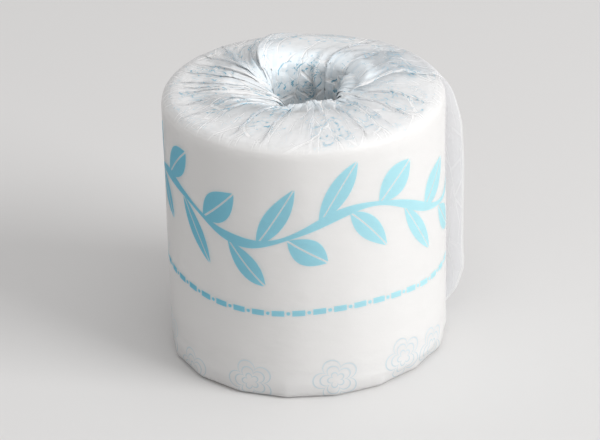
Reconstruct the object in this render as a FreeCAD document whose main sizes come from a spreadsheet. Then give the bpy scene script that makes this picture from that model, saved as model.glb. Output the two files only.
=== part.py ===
# A single wrapped toilet roll: a cardboard core tube, the tissue wound on it, and one thin sheet
# wrapped round both, gathered at each end and tucked into the core. It stands on its end.
# Millimetres. +Z is the roll's axis, with z = 0 on the floor. -Y is the front.
import FreeCAD
import Part
import Sketcher

import math
import os
from collections import namedtuple

# Driving dimensions, in millimetres and degrees.
SIZES = (
    ("roll_diameter", 103.5, "tissue roll, outside"),
    ("roll_height", 100.0, "width of the tissue"),
    ("roll_corner", 6.0, "rounding of the soft upper edge"),
    ("roll_foot", 4.5, "rounding of the soft lower edge"),
    ("tail_step", 0.4, "edge of the last sheet"),
    ("core_bore", 42.0, "inside of the core tube"),
    ("core_wall", 0.9, "wall of the core tube"),
    ("film", 0.3, "thickness of the wrapper"),
    ("film_gap", 0.3, "clearance of the wrapper"),
    ("rim_corner", 4.5, "rounding of the wrapper's upper edge"),
    ("foot_corner", 2.4, "rounding of the wrapper's lower edge"),
    ("rim_rise", 2.2, "height of the film's roll-over at the core's mouth"),
    ("tuck_depth", 34.0, "length of wrapper tucked into the core"),
    ("free_edge_at", 10.0, "azimuth of the wrapper's free edge"),
    ("lap_angle", 38.0, "overlap of the wrapper on itself"),
    ("lap_ramp", 20.0, "angle in which the overlap rises"),
    ("flap_angle", 40.0, "angle in which the free edge flares out"),
    ("flap_reach", 9.0, "how far the free edge stands off"),
    ("pleat_angle", 13.0, "width of a coarse pleat"),
    ("pleat_slope", 0.55, "height of a pleat for its width at the core"),
    ("pleat_low", 0.7, "height of the pressed pleats underneath"),
    ("fold_at", 112.0, "azimuth of the large fold at the back"),
    ("fold_height", 3.6, "height of the large fold"),
    ("tuft_at", 182.0, "azimuth of the bunched film in the core's mouth"),
    ("tuft_spread", 62.0, "half the angle that the bunched film covers"),
    ("tuft_height", 9.5, "how far the bunched film stands in"),
    ("chord_at", 278.0, "azimuth of the film drawn straight across the mouth"),
    ("chord_spread", 44.0, "half the angle of that straight edge"),
    ("chord_height", 4.6, "how far the straight edge stands in"),
    ("lean", 18.0, "most that a pleat leans sideways on its way in"),
    ("lean_at", 105.0, "azimuth of that lean"),
    ("facet_angle", 20.0, "angle of one flat along the lower edge"),
    ("facet_depth", 0.8, "depth of one flat along the lower edge"),
)
# Places that several pieces share. The roll stands on the film, its overlap and its pressed pleats.
ROLL_RADIUS = "@roll_diameter / 2"
CORE_OUTSIDE = "(@core_bore / 2 + @core_wall)"
ROLL_LIFT = "@film * 2 + @film_gap * 2 + @pleat_low"

CHORDS = 3  # straight chords in each rounded edge of the roll
COLUMN_STEP = 9.0  # widest step between two columns of the wrapper, in degrees
MESH_TOLERANCE = 0.0001  # points nearer than this, in mm, are one
RIDGE_SHARE = 0.6  # where a pleat's ridge lies across its width
LONGEST_REACH = 0.95
SHORTEST_REACH = 0.45
GOLDEN_TURN = 2.4  # radians, spreads the pleats' widths and reaches unevenly


def make_sheet(doc):
    """The spreadsheet of sizes."""
    sheet = doc.addObject("Spreadsheet::Sheet", "Sizes")
    for number, (name, value, note) in enumerate(SIZES, start=1):
        sheet.set("A%d" % number, name)
        sheet.set("B%d" % number, str(value))
        sheet.set("C%d" % number, note)
        sheet.setAlias("B%d" % number, name)
    doc.recompute()
    return sheet


def origin_plane(body, role):
    """One of a body's own origin planes."""
    return next(o for o in body.Origin.OriginFeatures if o.Role == role)


def add_sketch(body, name, plane="XY_Plane"):
    """A sketch on one of the body's origin planes."""
    sketch = body.newObject("Sketcher::SketchObject", name)
    sketch.AttachmentSupport = [(origin_plane(body, plane), "")]
    sketch.MapMode = "FlatFace"
    return sketch


def bind(item, path, expression):
    """Ties a property to the spreadsheet, where @ stands before the name of a size."""
    item.setExpression(path, expression.replace("@", "Sizes."))


def constrain(sketch, constraint, expression):
    """Adds a dimension to a sketch and ties it to the spreadsheet."""
    index = sketch.addConstraint(constraint)
    bind(sketch, "Constraints[%d]" % index, expression)
    return index


def add_ring(body, name, outer, inner):
    """A sketch of two circles about the origin, with their radii given as expressions."""
    sketch = add_sketch(body, name)
    for start_radius, expression in ((2.0, outer), (1.0, inner)):
        circle = Part.Circle(FreeCAD.Vector(), FreeCAD.Vector(0, 0, 1), start_radius)
        index = sketch.addGeometry(circle)
        sketch.addConstraint(Sketcher.Constraint("Coincident", index, 3, -1, 1))
        constrain(sketch, Sketcher.Constraint("Radius", index, start_radius), expression)
    return sketch


def add_pad(body, name, sketch, height):
    """A pad whose length is tied to the spreadsheet."""
    pad = body.newObject("PartDesign::Pad", name)
    pad.Profile = sketch
    bind(pad, "Length", height)
    sketch.Visibility = False
    return pad


def value_of(item, expression):
    """What an expression gives with the sizes as they are."""
    return float(item.evalExpression(expression.replace("@", "Sizes.")))


def add_polygon(body, name, plane, corners):
    """A sketch of one polygon, with each corner's two coordinates given as expressions."""
    sketch = add_sketch(body, name, plane)
    places = [FreeCAD.Vector(value_of(sketch, x), value_of(sketch, y)) for x, y in corners]
    last = len(corners) - 1
    for index, place in enumerate(places):
        after = places[0] if index == last else places[index + 1]
        sketch.addGeometry(Part.LineSegment(place, after))
    for index in range(len(corners)):
        after = 0 if index == last else index + 1
        sketch.addConstraint(Sketcher.Constraint("Coincident", index, 2, after, 1))
    for index, (x, y) in enumerate(corners):
        place = places[index]
        constrain(sketch, Sketcher.Constraint("DistanceX", -1, 1, index, 1, place.x), x)
        constrain(sketch, Sketcher.Constraint("DistanceY", -1, 1, index, 1, place.y), y)
    return sketch


def make_core(doc):
    """The cardboard tube that the tissue is wound on."""
    body = doc.addObject("PartDesign::Body", "CoreTube")
    body.Label = "core_tube"
    ring = add_ring(body, "CoreRing", CORE_OUTSIDE, "@core_bore / 2")
    add_pad(body, "CoreLength", ring, "@roll_height")
    bind(body, "Placement.Base.z", ROLL_LIFT)
    return body


def make_roll(doc):
    """The wound tissue, with soft rounded ends and the step of its last sheet."""
    body = doc.addObject("PartDesign::Body", "TissueRoll")
    body.Label = "tissue_roll"
    add_pad(body, "RollWidth", add_winding(body), "@roll_height")
    add_rounding(body, "Upper", "@roll_corner", True)
    add_rounding(body, "Lower", "@roll_foot", False)
    bind(body, "Placement.Base.z", ROLL_LIFT)
    return body


def add_winding(body):
    """The roll's outline: two half circles that close in by the thickness of the last sheet."""
    sketch = add_sketch(body, "Winding")
    radius = value_of(sketch, ROLL_RADIUS)
    step = value_of(sketch, "@tail_step")
    up = FreeCAD.Vector(0, 0, 1)
    quarter = math.pi / 2
    first = Part.Circle(FreeCAD.Vector(), up, radius)
    second = Part.Circle(FreeCAD.Vector(0, -step / 2, 0), up, radius - step / 2)
    sketch.addGeometry(Part.ArcOfCircle(first, -quarter, quarter))
    sketch.addGeometry(Part.ArcOfCircle(second, quarter, 3 * quarter))
    sketch.addGeometry(Part.LineSegment(FreeCAD.Vector(0, radius, 0), FreeCAD.Vector(0, radius - step, 0)))
    sketch.addGeometry(Part.Circle(FreeCAD.Vector(), up, radius / 2))
    for one, its_point, other, point in ((0, 3, -1, 1), (3, 3, -1, 1), (0, 2, 2, 1), (2, 2, 1, 1), (1, 2, 0, 1)):
        sketch.addConstraint(Sketcher.Constraint("Coincident", one, its_point, other, point))
    for arc, point in ((0, 1), (0, 2), (1, 3), (1, 1)):
        sketch.addConstraint(Sketcher.Constraint("PointOnObject", arc, point, -2))
    constrain(sketch, Sketcher.Constraint("Radius", 0, radius), ROLL_RADIUS)
    constrain(sketch, Sketcher.Constraint("Radius", 3, radius / 2), CORE_OUTSIDE)
    constrain(sketch, Sketcher.Constraint("DistanceY", 2, 2, 2, 1, step), "@tail_step")
    return sketch


def add_rounding(body, name, corner, upper):
    """Turns the sharp edge away at one end of the roll, in short straight chords of an arc."""
    end = "@roll_height" if upper else "0"
    inward = "-" if upper else "+"
    corners = []
    for number in range(CHORDS + 1):
        angle = 90.0 * number / CHORDS
        across = "%s - %s * (1 - sin(%g))" % (ROLL_RADIUS, corner, angle)
        along = "%s %s %s * (1 - cos(%g))" % (end, inward, corner, angle)
        corners.append((across, along))
    corners.append(("@roll_diameter", "%s %s %s" % (end, inward, corner)))
    corners.append(("@roll_diameter", end))
    sketch = add_polygon(body, name + "Profile", "XZ_Plane", corners)
    groove = body.newObject("PartDesign::Groove", name + "Rounding")
    groove.Profile = sketch
    groove.ReferenceAxis = (sketch, ["V_Axis"])
    groove.Angle = 360.0
    sketch.Visibility = False
    return groove


# One station of the wrapper's profile. The place is on the film's outer face, out is its outward
# normal, inward is 0 at the rim and 1 at the core's mouth, and the rest say how much of each
# feature reaches this station.
Station = namedtuple("Station", "radius height out inward ridge tuft flare facet under")


def read_sizes(sheet):
    """All driving dimensions as one tuple with names."""
    names = [name for name, value, note in SIZES]
    return namedtuple("Sizes", names)(*[sheet.get(name) for name in names])


def roll_lift(s):
    """Height of the roll's lower end."""
    return s.film * 2 + s.film_gap * 2 + s.pleat_low


def stations(s):
    """The wrapper's profile, from the end tucked in at the top to the end tucked in underneath."""
    sleeve = s.roll_diameter / 2 + s.film_gap + s.film
    lining = s.core_bore / 2 - s.film_gap - s.film
    bottom = roll_lift(s)
    top = bottom + s.roll_height
    lid = top + s.film_gap + s.film
    rim = top + s.rim_rise
    corner = s.rim_corner
    half = math.sqrt(0.5)
    short = 1 - half
    mouth = lining + s.rim_rise
    shoulder = sleeve - corner

    def lid_height(share):
        return lid + (rim - lid) * share

    rows = [
        Station(lining, top - s.tuck_depth, (-1, 0), 1, 0.7, 0.5, 0, 0, 0),
        Station(lining, top - s.tuck_depth / 2, (-1, 0), 1, 1.0, 1.0, 0, 0, 0),
        Station(lining, top, (-1, 0), 1, 1.0, 0.8, 0, 0, 0),
        Station(lining + s.rim_rise * short, rim - s.rim_rise * short, (-half, half), 1, 1.0, 0.6, 0, 0, 0),
    ]
    for inward in (1.0, 0.78, 0.5, 0.24):
        radius = shoulder + (mouth - shoulder) * inward
        tuft = 0.2 * max(0.0, inward - 0.7) / 0.3
        rows.append(Station(radius, lid_height(inward), (0, 1), inward, 1.0, tuft, 0, 0, 0))
    rows += [
        Station(shoulder, lid, (0, 1), 0, 0, 0, 0, 0, 0),
        Station(sleeve - corner * short, lid - corner * short, (half, half), 0, 0, 0, 0.1, 0, 0),
        Station(sleeve, lid - corner, (1, 0), 0, 0, 0, 0.35, 0, 0),
    ]
    side = lid - corner - s.foot_corner
    for share, flare in ((0.86, 0.85), (0.55, 1.0), (0.15, 1.0)):
        rows.append(Station(sleeve, s.foot_corner + side * share, (1, 0), 0, 0, 0, flare, 0, 0))
    foot = sleeve - s.foot_corner
    rows += [
        Station(sleeve, s.foot_corner, (1, 0), 0, 0, 0, 0.25, 0, 0),
        Station(sleeve - s.foot_corner * short, s.foot_corner * short, (half, -half), 0, 0, 0, 0, 1, 0.5),
        Station(foot, 0, (0, -1), 0, 0, 0, 0, 0.5, 1),
        Station((foot + lining + bottom) / 2, 0, (0, -1), 0, 0, 0, 0, 0, 1),
        Station(lining + bottom, 0, (0, -1), 0, -1, 0, 0, 0, 1),
        Station(lining + bottom * short, bottom * short, (-half, -half), 0, 0, 0, 0, 0, 0.5),
        Station(lining, bottom, (-1, 0), 1, 0.6, 0, 0, 0, 0),
        Station(lining, bottom + s.tuck_depth / 2, (-1, 0), 1, 0.9, 0, 0, 0, 0),
        Station(lining, bottom + s.tuck_depth, (-1, 0), 1, 0.7, 0, 0, 0, 0),
    ]
    return rows


def bump(angle, middle, spread):
    """A smooth rise from 0 to 1 and back, over the angles within spread of the middle."""
    away = abs((angle - middle + 180.0) % 360.0 - 180.0)
    return 0.0 if away >= spread else 0.5 + 0.5 * math.cos(math.pi * away / spread)


def ramp(value):
    """value held between 0 and 1."""
    return max(0.0, min(1.0, value))


def leaning(s, azimuth):
    """Sideways lean of the film between the rim and the core's mouth, in degrees."""
    return s.lean * math.cos(math.radians(azimuth - s.lean_at))


# A pleat: where its valley and ridge lie at the rim, its height, and how far out it reaches.
Pleat = namedtuple("Pleat", "valley ridge height reach")


def pleats(s):
    """The pleats round the sheet, finer where the film is bunched."""
    widths = []
    azimuth = 0.0
    while azimuth < 360.0:
        fine = 1 - 0.45 * bump(azimuth, s.tuft_at, s.tuft_spread * 1.5)
        width = s.pleat_angle * fine * (1 + 0.25 * math.sin(GOLDEN_TURN * len(widths)))
        widths.append(width)
        azimuth += width
    scale = 360.0 / azimuth
    mouth = s.core_bore / 2
    made = []
    azimuth = 0.0
    for number, width in enumerate(widths):
        width *= scale
        after = azimuth + width
        at_mouth = width + leaning(s, after) - leaning(s, azimuth)
        height = s.pleat_slope * math.radians(at_mouth) * mouth
        uneven = 0.5 + 0.5 * math.sin(GOLDEN_TURN * 2 * number)
        reach = SHORTEST_REACH + (LONGEST_REACH - SHORTEST_REACH) * uneven
        made.append(Pleat(azimuth, azimuth + width * RIDGE_SHARE, height, reach))
        azimuth = after
    return made


def columns(s, folds):
    """Azimuths of the columns in one turn, with one on each valley and ridge."""
    marks = sorted([p.valley for p in folds] + [p.ridge for p in folds]) + [360.0]
    made = []
    for start, end in zip(marks, marks[1:]):
        parts = max(1, math.ceil((end - start) / COLUMN_STEP))
        made += [start + (end - start) * part / parts for part in range(parts)]
    return made


def pleat_height(s, folds, azimuth, inward):
    """Height of the pleated film above its own base, where inward is 0 at the rim."""
    azimuth %= 360.0
    marks = []
    for p in folds:
        rise = ramp((inward - (1 - p.reach)) / p.reach)
        marks += [(p.valley, 0.0), (p.ridge, p.height * rise)]
    marks.append((360.0, 0.0))
    for (left, low), (right, high) in zip(marks, marks[1:]):
        if left <= azimuth <= right:
            return low + (high - low) * (azimuth - left) / (right - left)
    return 0.0


def large_fold(s, azimuth, inward):
    """Height of the large fold at the back, which drops steeply on its left side."""
    behind = (azimuth - s.fold_at + 180.0) % 360.0 - 180.0
    steep = s.pleat_angle * 0.5
    gentle = s.pleat_angle * 3
    share = 1 - behind / steep if behind > 0 else 1 + behind / gentle
    along = ramp(inward * 4) * ramp((1.25 - inward) * 2)
    return s.fold_height * ramp(share) * along


def out_of_base(s, folds, row, turned, whole):
    """How far the film's outer face stands off its base along the outward normal."""
    azimuth = s.free_edge_at + whole - turned
    at_mouth = azimuth + leaning(s, azimuth)
    if row.ridge < 0:
        raised = pleat_height(s, folds, azimuth, 1) * row.ridge
        raised = max(raised, -s.pleat_low)
    else:
        raised = pleat_height(s, folds, azimuth, row.inward) * row.ridge
    on_lid = row.out == (0, 1)
    if on_lid:
        raised += large_fold(s, azimuth, row.inward)
    raised += s.tuft_height * row.tuft * bump(at_mouth, s.tuft_at, s.tuft_spread)
    raised += s.chord_height * row.tuft * bump(at_mouth, s.chord_at, s.chord_spread)
    lap = s.film + s.film_gap
    over = ramp((turned - (whole - s.lap_angle - s.lap_ramp)) / s.lap_ramp)
    under = ramp((s.lap_angle + s.lap_ramp - turned) / s.lap_ramp)
    raised += lap * (over * (1 - row.under) - under * row.under)
    flare = ramp((turned - (whole - s.flap_angle)) / s.flap_angle)
    return raised + s.flap_reach * row.flare * flare ** 2


def film_point(s, folds, row, turned, whole, depth):
    """A point of the film, depth below its outer face."""
    azimuth = s.free_edge_at + whole - turned
    out = out_of_base(s, folds, row, turned, whole) - depth
    flat = (azimuth / s.facet_angle) % 1.0
    radius = row.radius + row.out[0] * out - s.facet_depth * row.facet * 4 * flat * (1 - flat)
    angle = math.radians(azimuth + leaning(s, azimuth) * row.inward)
    return FreeCAD.Vector(radius * math.cos(angle), radius * math.sin(angle), row.height + row.out[1] * out)


def sheet_turns(s, folds, whole):
    """Angles along the sheet from its inner edge at 0 to its free edge, one for each column."""
    found = {0.0, whole, s.lap_angle, s.lap_angle + s.lap_ramp}
    found |= {whole - s.lap_angle - s.lap_ramp, whole - s.lap_angle}
    for azimuth in columns(s, folds):
        turned = (s.free_edge_at + whole - azimuth) % 360.0
        while turned < whole:
            found.add(turned)
            turned += 360.0
    made = []
    for turned in sorted(found):
        if not made or turned - made[-1] > 0.4:
            made.append(turned)
    made[-1] = whole
    return made


def film_panels(turns, deep, flat_row, flat_from):
    """Corner numbers of the folded panels on both faces of the sheet and round its edge.

    The outer panels in the flat row are left out where the film lies flat on the floor.
    """
    inner = len(turns) * deep
    last_turn = inner - deep
    last_row = deep - 1
    quads = []
    for i in range(len(turns) - 1):
        here = i * deep
        after = here + deep
        for j in range(last_row):
            if j != flat_row or i < flat_from:
                quads.append((here + j, after + j, after + j + 1, here + j + 1))
            quads.append((inner + here + j, inner + here + j + 1, inner + after + j + 1, inner + after + j))
        quads.append((here, inner + here, inner + after, after))
        quads.append((here + last_row, after + last_row, inner + after + last_row, inner + here + last_row))
    for j in range(last_row):
        quads.append((j, j + 1, inner + j + 1, inner + j))
        quads.append((last_turn + j, inner + last_turn + j, inner + last_turn + j + 1, last_turn + j + 1))
    panels = []
    for a, b, c, d in quads:
        panels += [(a, b, c), (a, c, d)]
    return panels


def make_wrapper(doc, s):
    """The wrapper as one thin closed solid: a sheet of folded panels with one flat face to stand on."""
    folds = pleats(s)
    rows = stations(s)
    whole = 360.0 + s.lap_angle
    turns = sheet_turns(s, folds, whole)
    points = []
    for depth in (0.0, s.film):
        for turned in turns:
            points += [film_point(s, folds, row, turned, whole, depth) for row in rows]
    flat_row = min(j for j, row in enumerate(rows) if row.under == 1)
    flat_from = min(i for i, turned in enumerate(turns) if turned >= s.lap_angle + s.lap_ramp)
    deep = len(rows)
    around = range(flat_from, len(turns))
    outline = [points[i * deep + flat_row] for i in around]
    outline += [points[i * deep + flat_row + 1] for i in reversed(around)]
    flat = Part.Face(Part.makePolygon(outline + outline[:1]))
    faces = Part.Shape()
    faces.makeShapeFromMesh((points, film_panels(turns, deep, flat_row, flat_from)), MESH_TOLERANCE)
    solid = Part.Solid(Part.Shell(faces.Faces + [flat]))
    if solid.Volume < 0:
        solid.reverse()
    wrapper = doc.addObject("Part::Feature", "Wrapper")
    wrapper.Label = "wrapper"
    wrapper.Shape = solid
    return wrapper


def check(doc, parts):
    """Stops if any object failed, or a piece has no valid solid."""
    for item in doc.Objects:
        if "Invalid" in item.State or "Error" in item.State:
            raise RuntimeError("%s failed: %s" % (item.Name, item.State))
    for part in parts:
        shape = part.Shape
        if shape.isNull() or not shape.isValid() or not shape.Solids:
            raise RuntimeError("%s has no valid solid" % part.Label)


def main():
    doc = FreeCAD.newDocument("WrappedRoll")
    sheet = make_sheet(doc)
    parts = [make_core(doc), make_roll(doc)]
    doc.recompute()
    parts.append(make_wrapper(doc, read_sizes(sheet)))
    doc.recompute()
    check(doc, parts)
    os.makedirs("parts", exist_ok=True)
    for part in parts:
        part.Shape.exportStep("parts/%s.step" % part.Label)
        box = part.Shape.BoundBox
        print(part.Label, "%.1f x %.1f x %.1f" % (box.XLength, box.YLength, box.ZLength), len(part.Shape.Faces), "faces")


main()
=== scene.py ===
"""Looks of the wrapped toilet roll: a crinkled film wrapper, the tissue under it and its core."""
import math
from collections import namedtuple

import bpy
import numpy as np
from mathutils import Matrix, Vector


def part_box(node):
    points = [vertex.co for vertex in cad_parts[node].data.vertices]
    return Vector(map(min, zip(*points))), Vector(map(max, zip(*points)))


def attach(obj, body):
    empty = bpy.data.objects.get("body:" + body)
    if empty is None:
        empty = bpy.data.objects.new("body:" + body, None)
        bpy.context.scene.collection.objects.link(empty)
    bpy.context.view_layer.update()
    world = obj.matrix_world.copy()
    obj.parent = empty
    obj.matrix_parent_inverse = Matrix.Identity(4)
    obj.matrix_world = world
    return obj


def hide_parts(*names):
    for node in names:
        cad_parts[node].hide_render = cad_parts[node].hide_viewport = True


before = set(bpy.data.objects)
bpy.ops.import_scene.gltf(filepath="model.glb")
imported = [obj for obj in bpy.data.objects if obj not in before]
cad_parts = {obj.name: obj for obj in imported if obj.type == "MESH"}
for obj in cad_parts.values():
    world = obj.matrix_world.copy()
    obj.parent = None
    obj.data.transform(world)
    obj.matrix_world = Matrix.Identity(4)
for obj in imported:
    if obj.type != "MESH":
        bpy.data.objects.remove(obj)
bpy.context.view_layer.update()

MM = 0.001

# Sizes are in millimetres and angles in degrees. Those of the solids are taken from them.
ROLL_LOW, ROLL_HIGH = [[value / MM for value in corner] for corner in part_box("tissue_roll")]
FOOT = ROLL_LOW[2]
TOP = ROLL_HIGH[2]
MIDDLE = (FOOT + TOP) / 2
ROLL_RADIUS = ROLL_HIGH[0]
CORE_WALL = 0.9
BORE_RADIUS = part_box("core_tube")[1][0] / MM - CORE_WALL
ROLL_CORNER = 6.0
ROLL_FOOT_CORNER = 4.5
CORE_CORNER = 0.1

# The film's path over the roll.
FILM_GAP = 0.3          # clearance of the film over the tissue
LAP_GAP = 0.4           # extra clearance of the overlapping layer
MOUTH_GAP = 0.35        # extra clearance round the sharp edge of the core
RIM_CORNER = 4.5        # rounding of the film over the upper edge
FOOT_CORNER = 2.4       # rounding of the film round the lower edge
MOUTH_CORNER = 2.4      # rounding of the film over the core's mouth
TUCK_DEPTH = 33.0       # length of film pushed into the core
UNDER_ROOM = 1.3        # depth of the folds between the roll and the floor
SLEEVE = ROLL_RADIUS + FILM_GAP
LINING = BORE_RADIUS - FILM_GAP
LID = TOP + FILM_GAP
MOUTH = LINING + MOUTH_CORNER
SHOULDER = SLEEVE - RIM_CORNER
HEEL = SLEEVE - FOOT_CORNER
FLOOR_GAP = 0.02
RUN_STEPS = 60          # points along a straight part of the path
ARC_STEPS = 24          # points round a corner of the path

# The sheet is wound from its inner edge at 0 to its free edge, and azimuths fall on the way.
FREE_EDGE_AT = 10.0
LAP_ANGLE = 38.0
LAP_RAMP = 14.0         # angle in which the overlap rises
WHOLE_ANGLE = 360.0 + LAP_ANGLE
SHEET_WIDTH = math.radians(WHOLE_ANGLE) * SLEEVE
COLUMN_STEP = 0.9
ROW_STEP = 1.05

# The pleats. Large ones have a start, a width and a height.
PLEAT_WIDTH = 11.0      # average width of a pleat where it starts
PLEAT_HEIGHT = 1.1      # height of a coarse pleat's ridge at the mouth
RIGHT_PLEAT = (-22.0, 30.0, 1.0)
BACK_FOLD = (62.0, 30.0, 4.4)
UPPER_PLEATS = [RIGHT_PLEAT, BACK_FOLD]
LOWER_PLEATS = [(40.0, 20.0, 1.2)]
HIGH_FOLD = 2.5         # a pleat above this height keeps its ridge from the rim to the mouth
UPPER_SEED = 11
LOWER_SEED = 23
LEAN = 34.0             # most that the film leans sideways on its way in
EDGE_BOW = 5.0          # how far the free edge bows sideways on the lid
STRIP_ANGLE = 26.0      # width of the smooth strip beside the free edge
STRIP_RISE = 1.5        # height of that strip over the pleats under it

# Forms round the roll. Each has the azimuth of its middle and half the angle that it covers.
LEAN_PLACE = (96.0, 54.0)
EDGE_BOW_PLACE = (FREE_EDGE_AT, 46.0)
FINE_PLACE = (182.0, 95.0)          # where the pleats are finer
FLAT_PLACE = (176.0, 66.0)          # where the lid's folds are low
FIRM_PLACE = (174.0, 62.0)          # where they stay as they are laid
HUMP_PLACE = (196.0, 58.0)          # the film that stands up beside the mouth
TUFT_PLACE = (184.0, 72.0)          # the film that is bunched in the mouth
FRONT_CHORD_PLACE = (274.0, 52.0)   # the film that is drawn straight across the mouth's edge
RIGHT_CHORD_PLACE = (338.0, 44.0)
BULGE_PLACE = (226.0, 62.0)         # a swell of the lower edge
DENT_PLACE = (316.0, 32.0)          # and a hollow in it
DOME_HEIGHT = 1.6
HUMP_HEIGHT = 3.0
FRONT_CHORD = 9.0
RIGHT_CHORD = 8.0
BULGE = 1.6
DENT = 0.9
TUFT_DEPTHS = (-1, 1, 4, 9, 14, 24, TUCK_DEPTH)     # below the roll's top
TUFT_REACH = (0, 6.0, 12.5, 14.0, 14.2, 12.4, 8)    # how far the tuft stands in at each
FLUTE_DEPTH = 0.7
FLUTES = 26             # flutes of the tuft in a whole turn

# The free edge stands off the side between the rim and the foot.
FLAP_ANGLE = 40.0
FLAP_REACH = 8.6
FLAP_HEIGHTS = (4.7, 11, 19.6, 64, 81, 94, LID)
FLAP_SHARES = (0, 0.6, 0.95, 1, 0.9, 0.5, 0)

# The lower edge is folded in short straight stretches.
FLAT_ANGLE = 20.0
FLAT_DEPTH = 0.85
HEEL_TOP = 26.0

# How the film relaxes: each of its points is also held near where it was laid, by a share.
STRETCHED = 1.0
SQUEEZED = 0.55
SHEARED = 0.5
BENDING = 0.02
SETTLE_ROUNDS = 160

Rows = namedtuple("Rows", "radius height out up along upper inward")


def smooth(value):
    """0 below 0, 1 above 1, and a smooth step between."""
    value = np.clip(value, 0.0, 1.0)
    return value * value * (3 - 2 * value)


def bump(angle, place):
    """A smooth rise from 0 to 1 and back, over the angles about a place."""
    middle, spread = place
    away = np.abs((angle - middle + 180.0) % 360.0 - 180.0)
    return np.where(away < spread, 0.5 + 0.5 * np.cos(np.pi * away / spread), 0.0)


def ripples(across, along, length, seed, count=14):
    """A smooth uneven field of about -1 to 1 whose bumps are about length apart."""
    random = np.random.default_rng(seed)
    total = np.zeros(np.broadcast(across, along).shape)
    for number in range(count):
        angle = random.uniform(0, 2 * math.pi)
        size = length * random.uniform(0.7, 1.6)
        phase = random.uniform(0, 2 * math.pi)
        way = across * math.cos(angle) + along * math.sin(angle)
        total += np.sin(way * 2 * math.pi / size + phase)
    return total / math.sqrt(count / 2) * 0.5


def profile():
    """The film's profile from the top tuck to the lower one, as evenly spaced rows.

    Each row has a radius, a height, the outward normal's two parts and the distance along the film.
    It also says whether it is in the upper half, and how far in from the shoulder to the mouth it is.
    """
    path = []

    def run(start, end, normal):
        for step in range(RUN_STEPS):
            share = step / RUN_STEPS
            radius = start[0] + (end[0] - start[0]) * share
            height = start[1] + (end[1] - start[1]) * share
            path.append((radius, height, normal[0], normal[1]))

    def arc(centre, size, start, end):
        for step in range(ARC_STEPS):
            angle = math.radians(start + (end - start) * step / ARC_STEPS)
            across, up = math.cos(angle), math.sin(angle)
            path.append((centre[0] + size * across, centre[1] + size * up, across, up))

    run((LINING, TOP - TUCK_DEPTH), (LINING, LID - MOUTH_CORNER), (-1, 0))
    arc((MOUTH, LID - MOUTH_CORNER), MOUTH_CORNER, 180, 90)
    run((MOUTH, LID), (SHOULDER, LID), (0, 1))
    arc((SHOULDER, LID - RIM_CORNER), RIM_CORNER, 90, 0)
    run((SLEEVE, LID - RIM_CORNER), (SLEEVE, FOOT_CORNER), (1, 0))
    arc((HEEL, FOOT_CORNER), FOOT_CORNER, 0, -90)
    run((HEEL, 0), (MOUTH, 0), (0, -1))
    arc((MOUTH, MOUTH_CORNER), MOUTH_CORNER, 270, 180)
    run((LINING, MOUTH_CORNER), (LINING, FOOT + TUCK_DEPTH), (-1, 0))
    path.append((LINING, FOOT + TUCK_DEPTH, -1, 0))
    path = np.array(path)
    steps = np.hypot(np.diff(path[:, 0]), np.diff(path[:, 1]))
    along = np.concatenate([[0], np.cumsum(steps)])
    count = int(round(along[-1] / ROW_STEP)) + 1
    even = np.linspace(0, along[-1], count)
    radius, height, out, up = (np.interp(even, along, path[:, k]) for k in range(4))
    inward = np.clip((SHOULDER - radius) / (SHOULDER - MOUTH), 0, 1)
    return Rows(radius, height, out, up, even, height > MIDDLE, inward)


def distance_to_floor(rows):
    """How far along the film the floor would be, if its side went straight down to it."""
    side = rows.out > 0.99
    above = rows.height[side] - FOOT_CORNER
    return float(np.interp(0.0, -above, rows.along[side])) + FOOT_CORNER


def pleat_table(seed, large):
    """Start azimuths, widths in degrees and heights of the pleats in one turn.

    The large ones come as a list of start, width and height, and small uneven ones fill the rest.
    """
    random = np.random.default_rng(seed)
    table = list(large)
    around_again = (large[0][0] + 360.0, 0, 0)
    for (start, width, _), (after, *_) in zip(large, large[1:] + [around_again]):
        end = start + width
        room = after - start - width
        count = int(round(math.radians(room) * SLEEVE / PLEAT_WIDTH))
        widths = random.uniform(0.55, 1.6, count)
        middles = end + (np.cumsum(widths) - widths / 2) / widths.sum() * room
        widths *= 1 - 0.35 * bump(middles, FINE_PLACE)
        widths *= room / widths.sum()
        starts = end + np.cumsum(widths) - widths
        heights = PLEAT_HEIGHT * np.clip(widths / widths.mean(), 0.5, 1.4)
        heights = heights * random.choice([0.4, 0.8, 1.9], count)
        table += list(zip(starts, widths, heights))
    return np.array(sorted(table)).T


def pleated(azimuth, inward, radius, seed, large):
    """Sideways shift in degrees and height of the film where it is laid in pleats.

    Each pleat runs forward to its ridge and then back under it, so that its length stays the same
    while its share of the circle shrinks towards the mouth.
    """
    starts, widths, heights = pleat_table(seed, large)
    around = (azimuth - starts[0]) % 360.0 + starts[0]
    number = np.clip(np.searchsorted(starts, around, side="right") - 1, 0, len(starts) - 1)
    width = np.radians(widths[number]) * SLEEVE
    share = (around - starts[number]) / widths[number]
    kept = width * np.clip(radius / SLEEVE, 0.0, 1.0)
    forward = (width + kept) / 2
    back = np.maximum((width - kept) / 2, 1e-6)
    walked = share * width
    behind = walked > forward
    across = np.where(behind, 2 * forward - walked, walked)
    rise = np.where(behind, 1 - (walked - forward) / back, walked / forward)
    shift = np.degrees(across / radius) - share * widths[number]
    high = smooth(inward * 2.6) * smooth((1.06 - inward) * 3)
    low = smooth(inward * 1.25)
    height = heights[number] * np.clip(rise, 0, 1) * np.where(heights[number] > HIGH_FOLD, high, low)
    return shift, height


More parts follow.
